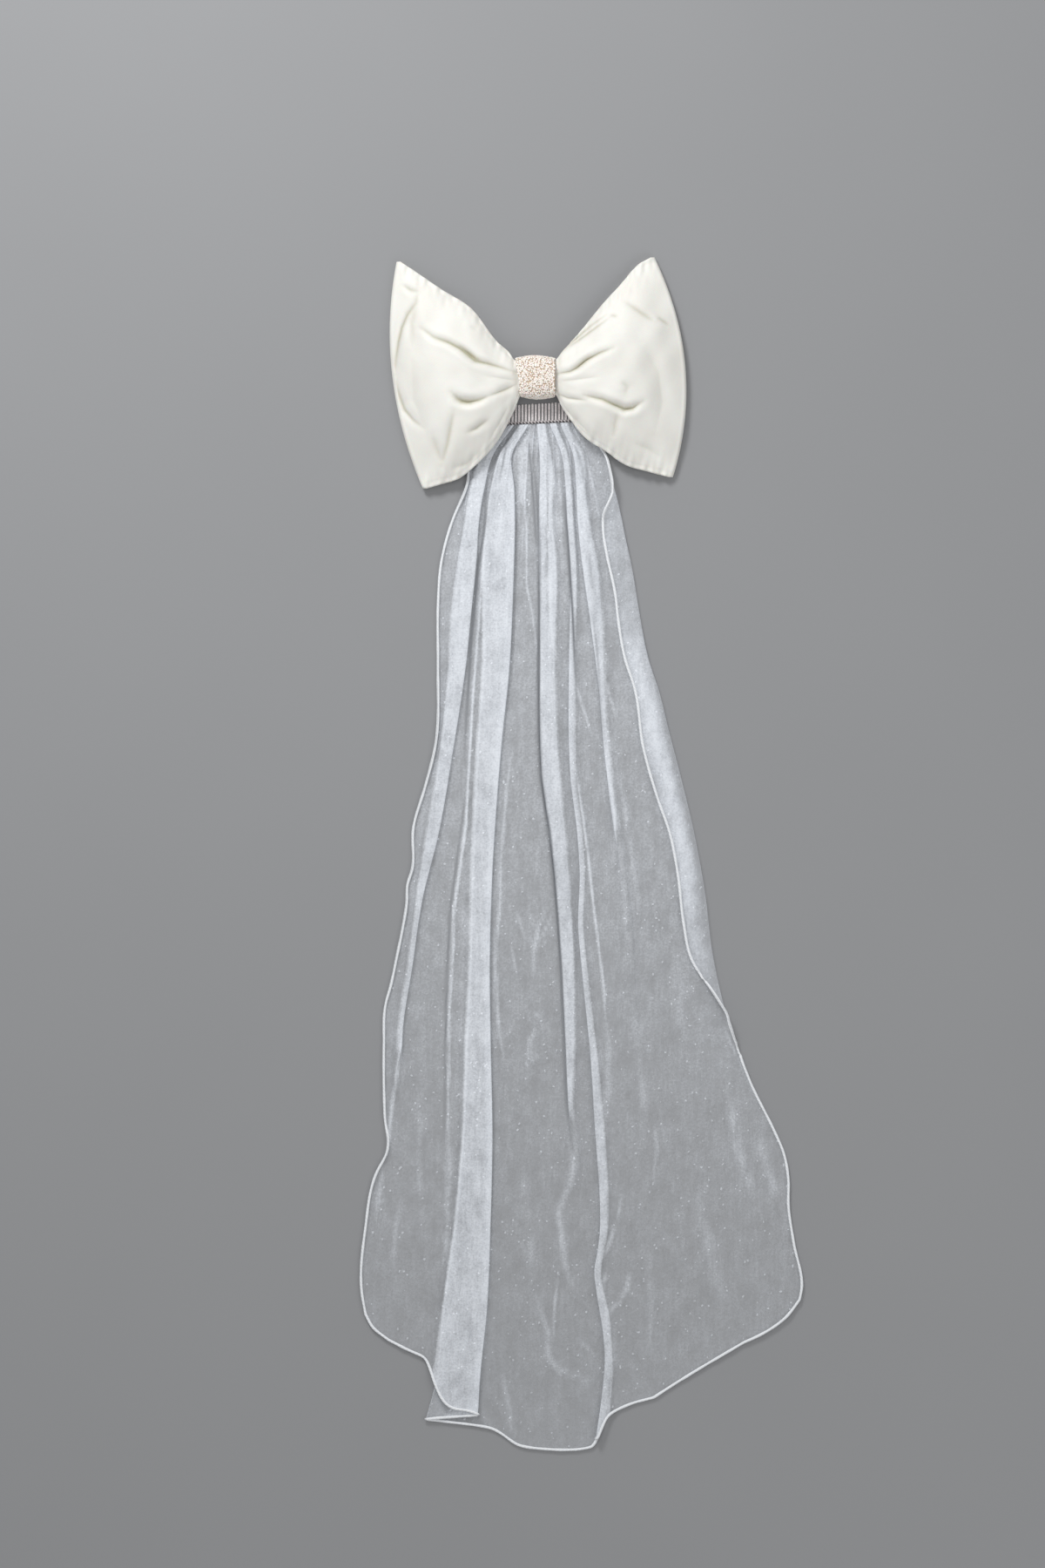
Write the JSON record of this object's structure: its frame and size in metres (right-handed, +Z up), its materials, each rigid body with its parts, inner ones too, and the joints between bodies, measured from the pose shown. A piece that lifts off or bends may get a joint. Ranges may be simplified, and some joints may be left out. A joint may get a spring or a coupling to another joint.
{
  "type": "bridal veil",
  "caption": "Sheer organza bridal veil with a corded hem, gathered onto a wire comb under a large bow with a beaded knot, laid out flat in long folds.",
  "frame": {"origin": "centre of the whole outline, on the surface that the veil lies on", "axes": "+X to the right as seen from above with the bow at the top, +Y from the hem towards the bow, +Z up from the surface"},
  "size_m": [0.507, 1.3702, 0.0408],
  "materials": {
    "organza": "sheer crisp white organza with a fine sparkle",
    "hem_cord": "matt white corded rolled hem",
    "ivory_crepe": "smooth ivory crepe",
    "seed_beads": "pearly cream and pale pink seed beads",
    "silver_wire": "bright silver-coloured wire"
  },
  "bodies": {
    "root": {"veil_panel": "organza", "hem_cord": "hem_cord", "bow_loop_left": "ivory_crepe", "bow_loop_right": "ivory_crepe", "beaded_band": "seed_beads", "comb_rail": "silver_wire", "comb_tooth_01": "silver_wire", "comb_tooth_02": "silver_wire", "comb_tooth_03": "silver_wire", "comb_tooth_04": "silver_wire", "comb_tooth_05": "silver_wire", "comb_tooth_06": "silver_wire", "comb_tooth_07": "silver_wire", "comb_tooth_08": "silver_wire", "comb_tooth_09": "silver_wire", "comb_tooth_10": "silver_wire", "comb_tooth_11": "silver_wire", "comb_tooth_12": "silver_wire", "comb_tooth_13": "silver_wire", "comb_tooth_14": "silver_wire", "comb_tooth_15": "silver_wire", "comb_tooth_16": "silver_wire", "comb_tooth_17": "silver_wire", "comb_tooth_18": "silver_wire", "comb_tooth_19": "silver_wire", "comb_tooth_20": "silver_wire", "comb_tooth_21": "silver_wire", "comb_tooth_22": "silver_wire"}
  },
  "joints": []
}
